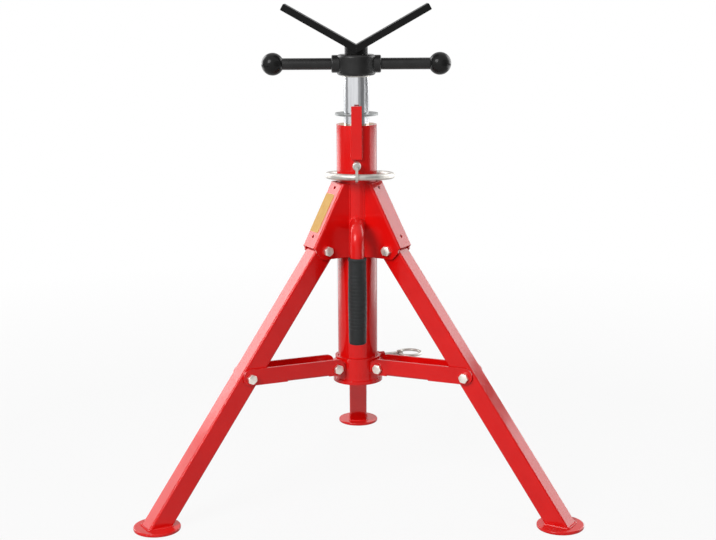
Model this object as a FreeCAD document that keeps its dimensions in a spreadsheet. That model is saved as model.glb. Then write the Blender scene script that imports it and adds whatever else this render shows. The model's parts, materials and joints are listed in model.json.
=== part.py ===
import FreeCAD, Part
import math
import os
import Sketcher
from FreeCAD import Placement, Rotation, Vector

# Folding pipe stand: a round column on three folding legs, a plated inner tube set by a pin,
# and a V-head on a screw that a two-armed nut lifts.
# Millimetres, +Z up. The column's axis is x = y = 0, the floor is z = 0 and the front is -Y.
# Leg pieces are drawn with the leg's own direction along +X and then turned to its azimuth.

DIMENSIONS = {
    # column and the bush in its top
    "column_radius": 30.0,
    "column_bore": 26.5,
    "column_bottom": 176.5,
    "column_top": 567.5,
    "bush_length": 30.0,
    "bush_bore": 19.1,
    # inner tube, its row of holes, guide ring and thrust washer
    "tube_radius": 19.0,
    "tube_bore": 16.0,
    "tube_bottom": 183.0,
    "tube_top": 637.5,
    "hole_count": 7,
    "hole_pitch": 50.0,
    "hole_radius": 5.3,
    "guide_radius": 26.4,
    "guide_length": 15.0,
    "washer_radius": 20.5,
    "washer_thickness": 2.0,
    # height pin with its hanging eye and wire ring
    "pin_height": 510.0,
    "pin_radius": 5.0,
    "pin_tip": 12.0,
    "pin_head_radius": 6.0,
    "pin_head_inner": 33.0,
    "pin_head_outer": 49.0,
    "pin_head_round": 1.2,
    "eye_thickness": 4.0,
    "eye_radius": 8.2,
    "eye_hole": 5.3,
    "ring_front": 50.0,
    "ring_height": 494.4,
    "ring_radius": 47.6,
    "ring_wire": 4.8,
    "ring_droop": 3.8,
    "ring_yaw": 5.5,
    # flat post on the column's front and the grip plate that tilts in the pocket behind it
    "post_width": 15.5,
    "post_front": 35.0,
    "post_back": 28.9,
    "post_bottom": 518.5,
    "post_top": 596.5,
    "slot_width": 11.2,
    "slot_front": 33.2,
    "slot_bottom": 579.3,
    "slot_top": 587.0,
    "plate_radius": 32.0,
    "plate_hole": 20.25,
    "plate_bottom": 581.0,
    "plate_thickness": 3.0,
    "plate_flat": 27.9,
    "plate_tab_width": 10.0,
    "plate_tab_front": 32.2,
    # leg brackets, folded from sheet
    "bracket_bottom": 372.0,
    "bracket_top": 482.6,
    "bracket_inner": 20.0,
    "bracket_half": 18.9,
    "sheet_thickness": 3.0,
    "sheet_bend": 3.5,
    "fork_half": 15.4,
    "web_top_radius": 34.0,
    "web_angle": 28.0,
    "web_length": 105.0,
    "ear_radius": 80.0,
    "ear_low": 383.0,
    "ear_high": 387.0,
    "ear_foot": 70.0,
    "web_hole": 2.5,
    "web_hole_high": 8.5,
    "web_hole_low": 88.0,
    # plain patch on the left bracket's web
    "patch_along": 50.0,
    "patch_length": 62.0,
    "patch_width": 24.0,
    "patch_shift": 3.5,
    "patch_thickness": 0.4,
    "patch_corner": 3.0,
    # carry handle and its rubber grip
    "handle_radius": 10.5,
    "handle_height": 422.0,
    "handle_bend": 25.0,
    "handle_reach": 75.0,
    "handle_bottom": 254.5,
    "grip_radius": 13.5,
    "grip_bottom": 250.5,
    "grip_top": 380.0,
    "grip_round": 3.0,
    # handle nut
    "hub_radius": 28.5,
    "hub_top": 669.8,
    "hub_round": 4.0,
    "hub_bore": 13.85,
    "spigot_radius": 15.9,
    "spigot_bottom": 622.0,
    "boss_radius": 13.0,
    "boss_reach": 36.5,
    "boss_round": 2.0,
    "arm_height": 656.0,
    "arm_radius": 8.6,
    "arm_stub_radius": 6.0,
    "arm_stub_length": 12.0,
    "ball_radius": 16.7,
    "ball_reach": 123.0,
    # lifting screw and V-head
    "screw_radius": 13.8,
    "screw_bottom": 530.0,
    "screw_socket": 8.05,
    "stop_ring_radius": 15.6,
    "stop_ring_length": 6.0,
    "stem_radius": 8.0,
    "stem_length": 40.0,
    "neck_radius": 17.0,
    "neck_gap": 0.5,
    "vee_height": 684.1,
    "vee_angle": 29.5,
    "vee_length": 121.0,
    "vee_width": 39.0,
    "vee_thickness": 10.0,
    "vee_round": 1.5,
    # legs and feet
    "leg_pivot_radius": 61.0,
    "leg_pivot_height": 384.5,
    "leg_width": 30.0,
    "leg_wall": 2.5,
    "leg_corner": 3.0,
    "foot_reach": 337.0,
    "foot_radius": 34.3,
    "foot_thickness": 5.0,
    "foot_round": 1.5,
    "fold_angle": 29.0,
    # bolts and bushes
    "bolt_radius": 4.0,
    "bolt_hole": 4.05,
    "bolt_head_radius": 7.5,
    "bolt_head_height": 5.5,
    "bolt_head_round": 0.8,
    "nut_height": 6.5,
    "bolt_tail": 2.0,
    "leg_bush_radius": 6.0,
    # sliding collar with its lugs and pull pin
    "collar_bore": 30.3,
    "collar_radius": 34.5,
    "collar_bottom": 175.5,
    "collar_top": 214.5,
    "rim_radius": 37.5,
    "rim_height": 5.0,
    "lug_reach": 45.5,
    "lug_height": 201.7,
    "lug_round": 7.0,
    "lug_half": 15.0,
    "lug_ear": 4.5,
    "lug_base": 4.0,
    "lock_height": 208.5,
    "lock_azimuth": 20.0,
    "lock_pin_radius": 4.0,
    "lock_hole": 4.3,
    "lock_boss_radius": 6.5,
    "lock_boss_reach": 43.0,
    "lock_eye_reach": 68.0,
    "lock_eye_radius": 6.0,
    "lock_eye_hole": 2.9,
    "lock_ring_radius": 17.5,
    "lock_ring_wire": 2.25,
    # links, folded to an upright channel
    "link_leg_height": 207.5,
    "link_width": 24.5,
    "link_thickness": 3.0,
    "link_gap": 0.3,
    "link_offset": 2.0,
    "link_bend": 4.0,
    "link_web_start": 14.0,
    "link_web_end": 60.0,
}

# name, azimuth in degrees, and the side that shows its bolt heads to the front
LEGS = (("left", 210.0, 1), ("right", 330.0, -1), ("rear", 90.0, 1))

ALONG_X = Rotation(Vector(0, 1, 0), 90)
ALONG_Y = Rotation(Vector(1, 0, 0), -90)
UPRIGHT = Rotation()

doc = FreeCAD.newDocument("pipe_stand")
sheet = doc.addObject("Spreadsheet::Sheet", "dims")
for row, (alias, amount) in enumerate(DIMENSIONS.items(), start=1):
    sheet.set(f"A{row}", alias)
    sheet.set(f"B{row}", str(amount))
    sheet.setAlias(f"B{row}", alias)
doc.recompute()

subparts = []


def number(expression):
    return float(sheet.evalExpression(str(expression)))


def size(alias):
    return float(sheet.get(alias))


def bind(obj, expressions):
    for prop, expression in expressions.items():
        obj.setExpression(prop, str(expression))
    return obj


def seat(obj, x, y, z, rotation):
    obj.Placement = Placement(Vector(0, 0, 0), rotation)
    return bind(obj, {"Placement.Base.x": x, "Placement.Base.y": y, "Placement.Base.z": z})


def cylinder(name, radius, height, x=0, y=0, z=0, rotation=UPRIGHT):
    obj = doc.addObject("Part::Cylinder", name)
    bind(obj, {"Radius": radius, "Height": height})
    return seat(obj, x, y, z, rotation)


def box(name, sides, x=0, y=0, z=0, rotation=UPRIGHT):
    obj = doc.addObject("Part::Box", name)
    bind(obj, dict(zip(("Length", "Width", "Height"), sides)))
    return seat(obj, x, y, z, rotation)


def centred_box(name, sides, x=0, y=0, z=0):
    # a box whose middle stands at x and y, with its lowest face at z
    return box(name, sides, f"{x} - ({sides[0]}) / 2", f"{y} - ({sides[1]}) / 2", z)


def hexagon(name, radius, height, x=0, y=0, z=0, rotation=UPRIGHT):
    obj = doc.addObject("Part::Prism", name)
    obj.Polygon = 6
    bind(obj, {"Circumradius": radius, "Height": height})
    return seat(obj, x, y, z, rotation)


def torus(name, radius, wire):
    obj = doc.addObject("Part::Torus", name)
    return bind(obj, {"Radius1": radius, "Radius2": wire})


def fuse(name, *pieces):
    obj = doc.addObject("Part::MultiFuse", name)
    obj.Shapes = list(pieces)
    obj.Refine = True
    return obj


def group(name, pieces):
    obj = doc.addObject("Part::Compound", name)
    obj.Links = list(pieces)
    return obj


def cut(name, base, *tools):
    obj = doc.addObject("Part::Cut", name)
    obj.Base = base
    obj.Tool = tools[0] if len(tools) == 1 else group(name + "_tools", tools)
    return obj


def common(name, base, tool):
    obj = doc.addObject("Part::Common", name)
    obj.Base = base
    obj.Tool = tool
    return obj


def rounded(name, base, radius, wanted):
    # rounds the edges of the base that the test picks out
    doc.recompute()
    obj = doc.addObject("Part::Fillet", name)
    obj.Base = base
    edges = base.Shape.Edges
    obj.Edges = [(i + 1, radius, radius) for i, edge in enumerate(edges) if wanted(edge)]
    return obj


def ring(name, outer, inner, length, z):
    return cut(
        name,
        cylinder(name + "_outer", outer, length, z=z),
        cylinder(name + "_bore", inner, length, z=z),
    )


def drawn_body(name, points):
    # a body with a closed outline on its XZ plane, each corner held to the sheet
    body = doc.addObject("PartDesign::Body", name)
    sketch = body.newObject("Sketcher::SketchObject", name + "_outline")
    planes = {feature.Role: feature for feature in body.Origin.OriginFeatures}
    sketch.AttachmentSupport = [(planes["XZ_Plane"], "")]
    sketch.MapMode = "FlatFace"
    corners = [Vector(number(across), number(up), 0) for across, up in points]
    for here, there in zip(corners, corners[1:] + corners[:1]):
        sketch.addGeometry(Part.LineSegment(here, there), False)
    count = len(points)
    for i in range(count):
        sketch.addConstraint(Sketcher.Constraint("Coincident", i, 2, (i + 1) % count, 1))
    for i, corner in enumerate(points):
        for kind, expression in zip(("DistanceX", "DistanceY"), corner):
            held = Sketcher.Constraint(kind, -1, 1, i, 1, number(expression))
            index = sketch.addConstraint(held)
            sketch.setExpression(f"Constraints[{index}]", str(expression))
    return body, sketch


def padded(name, points, width):
    body, sketch = drawn_body(name, points)
    pad = body.newObject("PartDesign::Pad", name + "_pad")
    pad.Profile = sketch
    pad.SideType = "Symmetric"
    pad.setExpression("Length", width)
    return body


def revolved(name, points):
    body, sketch = drawn_body(name, points)
    turn = body.newObject("PartDesign::Revolution", name + "_turn")
    turn.Profile = sketch
    turn.ReferenceAxis = (sketch, ["V_Axis"])
    turn.Angle = 360.0
    return body


def keep(node, obj):
    obj.Label = node
    subparts.append(obj)
    return obj


def azimuth(angle):
    return Placement(Vector(0, 0, 0), Rotation(Vector(0, 0, 1), angle))


def lock_direction():
    return azimuth(size("lock_azimuth")).Rotation * ALONG_X


def upright_edge(edge):
    ends = [vertex.Point for vertex in edge.Vertexes]
    return len(ends) == 2 and (ends[1] - ends[0]).normalize().cross(Vector(0, 0, 1)).Length < 1e-6


def edge_of_length(length):
    def test(edge):
        return abs(edge.Length - length) < 1e-6

    return test


def circle_of(radius):
    def test(edge):
        return hasattr(edge.Curve, "Radius") and abs(edge.Curve.Radius - radius) < 1e-6

    return test


# Spread of the legs, and how far collar and links travel between standing and folded.
def fold_geometry():
    drop = size("leg_pivot_height") - size("foot_thickness")
    lean = math.atan2(size("foot_reach") - size("leg_pivot_radius"), drop)
    link_drop = size("leg_pivot_height") - size("link_leg_height")
    down_leg = link_drop / math.cos(lean)
    link_reach = size("leg_pivot_radius") + link_drop * math.tan(lean)
    run = link_reach - size("lug_reach")
    fall = size("lug_height") - size("link_leg_height")
    link = math.hypot(run, fall)
    folded = lean - math.radians(size("fold_angle"))
    folded_run = size("leg_pivot_radius") + down_leg * math.sin(folded) - size("lug_reach")
    folded_low = size("leg_pivot_height") - down_leg * math.cos(folded)
    folded_fall = math.sqrt(link**2 - folded_run**2)
    rise = folded_low + folded_fall - size("lug_height")
    swing = math.atan2(folded_fall, folded_run) - math.atan2(fall, run)
    return {
        "lean": math.degrees(lean),
        "down_leg": down_leg,
        "link": link,
        "link_slope": math.degrees(math.atan2(fall, run)),
        "collar_rise": rise,
        "link_swing": math.degrees(swing),
    }


fold = fold_geometry()


# Column, its lock holes for the collar's pin, and the front hole for the height pin.
def make_column():
    shell = ring(
        "column_shell",
        "dims.column_radius",
        "dims.column_bore",
        "dims.column_top - dims.column_bottom",
        "dims.column_bottom",
    )
    holes = [
        cylinder(
            "column_pin_hole",
            "dims.hole_radius",
            "dims.column_radius",
            y="-dims.column_radius * 1.5",
            z="dims.pin_height",
            rotation=ALONG_Y,
        )
    ]
    for name, lift in (("spread", 0.0), ("folded", fold["collar_rise"])):
        holes.append(
            cylinder(
                f"lock_hole_{name}",
                "dims.lock_hole",
                "dims.column_radius * 1.5",
                z=f"dims.lock_height + {lift}",
                rotation=lock_direction(),
            )
        )
    keep("column_tube", cut("column_tube", shell, *holes))
    bush = ring(
        "column_top_bush",
        "dims.column_bore",
        "dims.bush_bore",
        "dims.bush_length",
        "dims.column_top - dims.bush_length",
    )
    keep("column_top_bush", bush)


# Folded sheet bracket: two side plates and a sloping web, open below for the leg.
def make_brackets():
    web_foot_r = "(dims.web_top_radius + dims.web_length * sin(dims.web_angle))"
    web_foot_z = "(dims.bracket_top - dims.web_length * cos(dims.web_angle))"
    inward_r = "dims.sheet_thickness * cos(dims.web_angle)"
    inward_z = "dims.sheet_thickness * sin(dims.web_angle)"
    beyond = 40.0
    outside = [
        ("dims.bracket_inner", "dims.bracket_bottom"),
        ("dims.ear_foot", "dims.bracket_bottom"),
        ("dims.ear_radius", "dims.ear_low"),
        ("dims.ear_radius", "dims.ear_high"),
        (web_foot_r, web_foot_z),
        ("dims.web_top_radius", "dims.bracket_top"),
        ("dims.bracket_inner", "dims.bracket_top"),
    ]
    up_r = f"dims.web_top_radius - {inward_r} - {beyond} * sin(dims.web_angle)"
    up_z = f"dims.bracket_top - {inward_z} + {beyond} * cos(dims.web_angle)"
    inside = [
        (f"{web_foot_r} - {inward_r}", f"{web_foot_z} - {inward_z}"),
        (up_r, up_z),
        (f"dims.bracket_inner - {beyond}", up_z),
        (f"dims.bracket_inner - {beyond}", f"dims.bracket_bottom - {beyond}"),
        (f"dims.ear_radius + {beyond}", f"dims.bracket_bottom - {beyond}"),
        (
            f"{web_foot_r} + {beyond} * cos(dims.web_angle)",
            f"{web_foot_z} + ({beyond} - dims.sheet_thickness * 2) * sin(dims.web_angle)",
        ),
    ]
    web_edges = edge_of_length(size("web_length"))
    for name, angle, _ in LEGS:
        node = f"leg_bracket_{name}"
        sharp_sheet = padded(node + "_outside", outside, "dims.bracket_half * 2")
        folded_sheet = rounded(node + "_bent", sharp_sheet, size("sheet_bend"), web_edges)
        fork = padded(node + "_fork", inside, "dims.fork_half * 2")
        weld_line = cylinder(node + "_weld_line", "dims.column_radius", "dims.column_top")
        bolt_way = cylinder(
            node + "_bolt_way",
            "dims.bolt_hole",
            "dims.bracket_half * 4",
            x="dims.leg_pivot_radius",
            y="-dims.bracket_half * 2",
            z="dims.leg_pivot_height",
            rotation=ALONG_Y,
        )
        holes = [web_hole(node, word) for word in ("high", "low")]
        bracket = cut(node, cut(node + "_open", folded_sheet, fork), weld_line, bolt_way, *holes)
        bracket.Placement = azimuth(angle)
        keep(node, bracket)


# A place on the web's outer face, so far down from its top edge.
def on_web(along):
    return (
        f"dims.web_top_radius + ({along}) * sin(dims.web_angle)",
        f"dims.bracket_top - ({along}) * cos(dims.web_angle)",
    )


def web_hole(node, word):
    reach, height = on_web(f"dims.web_hole_{word}")
    depth = "dims.sheet_thickness * 2"
    return cylinder(
        f"{node}_web_hole_{word}",
        "dims.web_hole",
        f"{depth} * 2",
        x=f"{reach} - {depth} * cos(dims.web_angle)",
        z=f"{height} - {depth} * sin(dims.web_angle)",
        rotation=Rotation(Vector(0, 1, 0), 90.0 - size("web_angle")),
    )


# Plain patch, stuck to the left bracket's web nearer to its far edge.
def make_patch():
    reach, height = on_web("dims.patch_along + dims.patch_length / 2")
    film = box(
        "patch_film",
        ("dims.patch_thickness", "dims.patch_width", "dims.patch_length"),
        reach,
        "-dims.patch_shift - dims.patch_width / 2",
        height,
        Rotation(Vector(0, 1, 0), -size("web_angle")),
    )
    patch = rounded("bracket_patch", film, size("patch_corner"), edge_of_length(size("patch_thickness")))
    patch.Placement = azimuth(LEGS[0][1])
    keep("bracket_patch", patch)


# Bolts and nuts lie across a leg's direction, on the given spot, round a fork of given half width.
def make_bolt(name, reach, height, half, side):
    shank = cylinder(
        name + "_shank",
        "dims.bolt_radius",
        f"2 * ({half}) + dims.nut_height + dims.bolt_tail",
        y=f"-({half}) - dims.nut_height - dims.bolt_tail",
        rotation=ALONG_Y,
    )
    head = hexagon(name + "_head", "dims.bolt_head_radius", "dims.bolt_head_height", y=half, rotation=ALONG_Y)
    blank = fuse(name + "_blank", shank, head)
    crown = rounded(name + "_crown", blank, size("bolt_head_round"), far_hexagon(half))
    crown.Placement = spot(reach, height, side)
    return crown


def far_hexagon(half):
    # the outer rim of the hexagon head
    face = number(half) + size("bolt_head_height")

    def test(edge):
        return all(abs(vertex.Point.y - face) < 1e-6 for vertex in edge.Vertexes)

    return test


def make_nut(name, reach, height, half, side):
    blank = hexagon(
        name + "_blank",
        "dims.bolt_head_radius",
        "dims.nut_height",
        y=f"-({half}) - dims.nut_height",
        rotation=ALONG_Y,
    )
    thread = cylinder(
        name + "_thread",
        "dims.bolt_radius",
        "dims.nut_height",
        y=f"-({half}) - dims.nut_height",
        rotation=ALONG_Y,
    )
    nut = cut(name, blank, thread)
    nut.Placement = spot(reach, height, side)
    return nut


def spot(reach, height, side):
    turned = Rotation(Vector(1, 0, 0), 0 if side > 0 else 180)
    return Placement(Vector(number(reach), 0, number(height)), turned)


def make_fasteners(prefix, reach, height, half):
    bolts = []
    nuts = []
    for name, angle, side in LEGS:
        for made, make, word in ((bolts, make_bolt, "bolt"), (nuts, make_nut, "nut")):
            piece = make(f"{prefix}_{word}_{name}", reach, height, half, side)
            piece.Placement = azimuth(angle) * piece.Placement
            made.append(piece)
    keep(f"{prefix}_bolts", group(f"{prefix}_bolts", bolts))
    keep(f"{prefix}_nuts", group(f"{prefix}_nuts", nuts))


# Bent bar of the carry handle, welded to the column's front, and the rubber grip on it.
def make_handle():
    level = "dims.handle_height - dims.handle_bend"
    root = cylinder(
        "handle_root",
        "dims.handle_radius",
        "dims.handle_reach - dims.handle_bend",
        y="dims.handle_bend - dims.handle_reach",
        z="dims.handle_height",
        rotation=ALONG_Y,
    )
    bend = torus("handle_elbow", "dims.handle_bend", "dims.handle_radius")
    bend.Angle3 = 90.0
    quarter = Rotation(Vector(0, 0, 1), Vector(0, -1, 0), Vector(1, 0, 0), "XYZ")
    seat(bend, 0, "dims.handle_bend - dims.handle_reach", level, quarter)
    fall = cylinder(
        "handle_fall",
        "dims.handle_radius",
        f"{level} - dims.handle_bottom",
        y="-dims.handle_reach",
        z="dims.handle_bottom",
    )
    weld_line = cylinder("handle_weld_line", "dims.column_radius", "dims.column_top")
    bent = fuse("handle_bent", root, bend, fall)
    keep("handle_bar", cut("handle_bar", bent, weld_line))
    length = "dims.grip_top - dims.grip_bottom"
    sleeve = cylinder("grip_sleeve", "dims.grip_radius", length, y="-dims.handle_reach", z="dims.grip_bottom")
    soft = rounded("grip_soft", sleeve, size("grip_round"), circle_of(size("grip_radius")))
    way = cylinder("grip_way", "dims.handle_radius", length, y="-dims.handle_reach", z="dims.handle_bottom")
    keep("handle_grip", cut("handle_grip", soft, way))


# Inner tube with its holes, the guide ring at its foot and the washer under the hub.
def make_inner_tube():
    shell = ring(
        "tube_shell",
        "dims.tube_radius",
        "dims.tube_bore",
        "dims.tube_top - dims.tube_bottom",
        "dims.tube_bottom",
    )
    holes = []
    for i in range(int(size("hole_count"))):
        holes.append(
            cylinder(
                f"tube_hole_{i}",
                "dims.hole_radius",
                "dims.tube_radius * 4",
                y="-dims.tube_radius * 2",
                z=f"dims.pin_height - {i} * dims.hole_pitch",
                rotation=ALONG_Y,
            )
        )
    keep("inner_tube", cut("inner_tube", shell, *holes))
    guide = ring(
        "tube_guide_ring",
        "dims.guide_radius",
        "dims.tube_radius",
        "dims.guide_length",
        "dims.tube_bottom",
    )
    keep("tube_guide_ring", guide)
    washer = ring(
        "tube_top_washer",
        "dims.washer_radius",
        "dims.tube_bore",
        "dims.washer_thickness",
        "dims.tube_top",
    )
    keep("tube_top_washer", washer)


# Handle nut: a turned hub with two side bosses, two arms and two ball knobs.
def make_handle_nut():
    hub_bottom = "dims.tube_top + dims.washer_thickness"
    turned = revolved(
        "hub_turned",
        [
            ("dims.hub_bore", "dims.spigot_bottom"),
            ("dims.spigot_radius", "dims.spigot_bottom"),
            ("dims.spigot_radius", hub_bottom),
            ("dims.hub_radius", hub_bottom),
            ("dims.hub_radius", "dims.hub_top"),
            ("dims.hub_bore", "dims.hub_top"),
        ],
    )
    soft = rounded("hub_soft", turned, size("hub_round"), circle_of(size("hub_radius")))
    bosses = cylinder(
        "hub_bosses",
        "dims.boss_radius",
        "dims.boss_reach * 2",
        x="-dims.boss_reach",
        z="dims.arm_height",
        rotation=ALONG_X,
    )
    soft_bosses = rounded("hub_soft_bosses", bosses, size("boss_round"), circle_of(size("boss_radius")))
    way = cylinder("hub_way", "dims.hub_bore", "dims.hub_top")
    sockets = []
    for side, start in (("left", "-dims.boss_reach"), ("right", "dims.boss_reach - dims.arm_stub_length")):
        sockets.append(
            cylinder(
                f"hub_socket_{side}",
                "dims.arm_stub_radius",
                "dims.arm_stub_length",
                x=start,
                z="dims.arm_height",
                rotation=ALONG_X,
            )
        )
    keep("nut_hub", cut("nut_hub", fuse("hub_cast", soft, soft_bosses), way, *sockets))
    for side, angle in (("left", 180.0), ("right", 0.0)):
        make_arm_and_ball(side, angle)


def make_arm_and_ball(side, angle):
    seating = "sqrt(dims.ball_radius ^ 2 - dims.arm_radius ^ 2)"
    flat = f"(dims.ball_reach - {seating})"
    rod = cylinder(
        f"arm_rod_{side}",
        "dims.arm_radius",
        f"{flat} - dims.boss_reach",
        x="dims.boss_reach",
        z="dims.arm_height",
        rotation=ALONG_X,
    )
    stub = cylinder(
        f"arm_stub_{side}",
        "dims.arm_stub_radius",
        f"{flat} - dims.boss_reach + 2 * dims.arm_stub_length",
        x="dims.boss_reach - dims.arm_stub_length",
        z="dims.arm_height",
        rotation=ALONG_X,
    )
    arm = fuse(f"handle_arm_{side}", rod, stub)
    arm.Placement = azimuth(angle)
    keep(f"handle_arm_{side}", arm)
    ball = doc.addObject("Part::Sphere", f"ball_{side}")
    bind(ball, {"Radius": "dims.ball_radius"})
    seat(ball, "dims.ball_reach", 0, "dims.arm_height", UPRIGHT)
    face = box(
        f"ball_face_{side}",
        ("dims.ball_radius * 2", "dims.ball_radius * 4", "dims.ball_radius * 4"),
        f"{flat} - dims.ball_radius * 2",
        "-dims.ball_radius * 2",
        "dims.arm_height - dims.ball_radius * 2",
    )
    socket = cylinder(
        f"ball_socket_{side}",
        "dims.arm_stub_radius",
        "dims.arm_stub_length",
        x=flat,
        z="dims.arm_height",
        rotation=ALONG_X,
    )
    knob = cut(f"ball_knob_{side}", cut(f"ball_flat_{side}", ball, face), socket)
    knob.Placement = azimuth(angle)
    keep(f"ball_knob_{side}", knob)


# Lifting screw with its stop ring, and the V-head whose stem turns in the screw's socket.
def make_screw_and_head():
    rod = cylinder(
        "screw_blank",
        "dims.screw_radius",
        "dims.hub_top - dims.screw_bottom",
        z="dims.screw_bottom",
    )
    neck_foot = "dims.hub_top + dims.neck_gap"
    socket = cylinder(
        "screw_socket",
        "dims.screw_socket",
        "dims.stem_length + dims.neck_gap * 4",
        z="dims.hub_top - dims.stem_length - dims.neck_gap * 2",
    )
    keep("screw_rod", cut("screw_rod", rod, socket))
    stop = ring(
        "screw_stop_ring",
        "dims.stop_ring_radius",
        "dims.screw_radius",
        "dims.stop_ring_length",
        "dims.screw_bottom",
    )
    keep("screw_stop_ring", stop)
    block = cylinder("neck_block", "dims.neck_radius", "dims.vee_width / 2", z=neck_foot)
    stem = cylinder(
        "neck_stem",
        "dims.stem_radius",
        "dims.stem_length + dims.neck_gap * 2",
        z="dims.hub_top - dims.stem_length",
    )
    seats = []
    for side, angle in (("left", 180.0), ("right", 0.0)):
        seats.append(make_vee_arm(side, angle))
    keep("v_head_neck", cut("v_head_neck", fuse("neck_turned", block, stem), *seats))


def make_vee_arm(side, angle):
    tilt = Rotation(Vector(0, 1, 0), -size("vee_angle"))
    under_x = "dims.vee_thickness * sin(dims.vee_angle)"
    under_z = "dims.vee_height - dims.vee_thickness * cos(dims.vee_angle)"
    spare = "dims.vee_thickness"
    bar = box(
        f"vee_bar_{side}",
        (f"dims.vee_length + {spare}", "dims.vee_width", "dims.vee_thickness"),
        f"{under_x} - {spare} * cos(dims.vee_angle)",
        "-dims.vee_width / 2",
        f"{under_z} - {spare} * sin(dims.vee_angle)",
        tilt,
    )
    doc.recompute()
    furthest = max(vertex.X for vertex in bar.Shape.Vertexes) - size("vee_thickness")
    tip = rounded(
        f"vee_tip_{side}",
        bar,
        size("vee_round"),
        lambda edge: all(vertex.X > furthest for vertex in edge.Vertexes),
    )
    mitre = centred_box(
        f"vee_mitre_{side}",
        ("dims.vee_length", "dims.vee_width * 2", "dims.vee_length"),
        x="-dims.vee_length / 2",
        z="dims.vee_height - dims.vee_length / 2",
    )
    arm = cut(f"v_arm_{side}", tip, mitre)
    arm.Placement = azimuth(angle)
    keep(f"v_arm_{side}", arm)
    # the room above the bar's underside, which the neck is cut to
    room = box(
        f"vee_room_{side}",
        ("dims.vee_length", "dims.vee_width * 2", "dims.vee_length"),
        f"{under_x} - {spare} * 3 * cos(dims.vee_angle)",
        "-dims.vee_width",
        f"{under_z} - {spare} * 3 * sin(dims.vee_angle)",
        tilt,
    )
    half = cut(f"vee_half_room_{side}", room, mitre)
    half.Placement = azimuth(angle)
    return half


# Height pin with an eye that hangs in front of the column, and the wire ring in that eye.
def make_height_pin():
    shaft = cylinder(
        "pin_shaft",
        "dims.pin_radius",
        "dims.pin_head_outer - dims.pin_tip",
        y="-dims.pin_head_outer",
        z="dims.pin_height",
        rotation=ALONG_Y,
    )
    head = cylinder(
        "pin_head",
        "dims.pin_head_radius",
        "dims.pin_head_outer - dims.pin_head_inner",
        y="-dims.pin_head_outer",
        z="dims.pin_height",
        rotation=ALONG_Y,
    )
    soft_head = rounded("pin_soft_head", head, size("pin_head_round"), circle_of(size("pin_head_radius")))
    tab = centred_box(
        "pin_tab",
        ("dims.eye_thickness", "dims.eye_radius * 2", "dims.pin_height - dims.ring_height"),
        y="-dims.ring_front",
        z="dims.ring_height",
    )
    rim = cylinder(
        "pin_eye_rim",
        "dims.eye_radius",
        "dims.eye_thickness",
        x="-dims.eye_thickness / 2",
        y="-dims.ring_front",
        z="dims.ring_height",
        rotation=ALONG_X,
    )
    way = cylinder(
        "pin_eye_way",
        "dims.eye_hole",
        "dims.eye_thickness * 2",
        x="-dims.eye_thickness",
        y="-dims.ring_front",
        z="dims.ring_height",
        rotation=ALONG_X,
    )
    keep("height_pin", cut("height_pin", fuse("pin_forged", shaft, soft_head, tab, rim), way))
    wire = torus("pin_ring", "dims.ring_radius", "dims.ring_wire")
    yaw = Rotation(Vector(0, 0, 1), -size("ring_yaw"))
    droop = Rotation(Vector(1, 0, 0), -size("ring_droop"))
    inward = "dims.ring_radius * cos(dims.ring_droop)"
    seat(
        wire,
        f"{inward} * sin(dims.ring_yaw)",
        f"{inward} * cos(dims.ring_yaw) - dims.ring_front",
        "dims.ring_height - dims.ring_radius * sin(dims.ring_droop)",
        yaw * droop,
    )
    keep("pin_ring", wire)


# Flat post on the column's front and the round grip plate, whose tab sits in the pocket behind it.
def make_grip_plate():
    bar = box(
        "post_bar",
        ("dims.post_width", "dims.post_front - dims.post_back", "dims.post_top - dims.post_bottom"),
        "-dims.post_width / 2",
        "-dims.post_front",
        "dims.post_bottom",
    )
    weld_line = cylinder("post_weld_line", "dims.column_radius", "dims.column_top")
    slot = centred_box(
        "post_slot",
        ("dims.slot_width", "dims.slot_front", "dims.slot_top - dims.slot_bottom"),
        y="-dims.slot_front / 2",
        z="dims.slot_bottom",
    )
    keep("plate_post", cut("plate_post", bar, weld_line, slot))
    disc = cylinder("plate_disc", "dims.plate_radius", "dims.plate_thickness", z="dims.plate_bottom")
    flat = centred_box(
        "plate_front",
        ("dims.plate_radius * 2", "dims.plate_radius", "dims.plate_thickness"),
        y="-dims.plate_flat - dims.plate_radius / 2",
        z="dims.plate_bottom",
    )
    tab = box(
        "plate_tab",
        ("dims.plate_tab_width", "dims.plate_tab_front - dims.tube_radius", "dims.plate_thickness"),
        "-dims.plate_tab_width / 2",
        "-dims.plate_tab_front",
        "dims.plate_bottom",
    )
    way = cylinder("plate_way", "dims.plate_hole", "dims.plate_thickness", z="dims.plate_bottom")
    blank = fuse("plate_blank", cut("plate_trimmed", disc, flat), tab)
    keep("grip_plate", cut("grip_plate", blank, way))


# Sliding collar: sleeve with a rim, three forked lugs, and the boss, pull pin and ring of its lock.
def make_collar():
    length = "dims.collar_top - dims.collar_bottom"
    sleeve = cylinder("collar_body", "dims.collar_radius", length, z="dims.collar_bottom")
    rim = cylinder("collar_rim", "dims.rim_radius", "dims.rim_height", z="dims.collar_bottom")
    way = cylinder("collar_way", "dims.collar_bore", length, z="dims.collar_bottom")
    pin_way = cylinder(
        "collar_pin_way",
        "dims.lock_hole",
        "dims.lock_boss_reach",
        z="dims.lock_height",
        rotation=lock_direction(),
    )
    keep("collar_sleeve", cut("collar_sleeve", fuse("collar_turned", sleeve, rim), way, pin_way))
    lugs = [make_lug(name, angle) for name, angle, _ in LEGS]
    keep("collar_lugs", group("collar_lugs", lugs))
    half = "dims.lug_half + dims.link_thickness + 2 * dims.link_gap"
    make_fasteners("collar", "dims.lug_reach", "dims.lug_height", half)
    make_lock()


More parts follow.
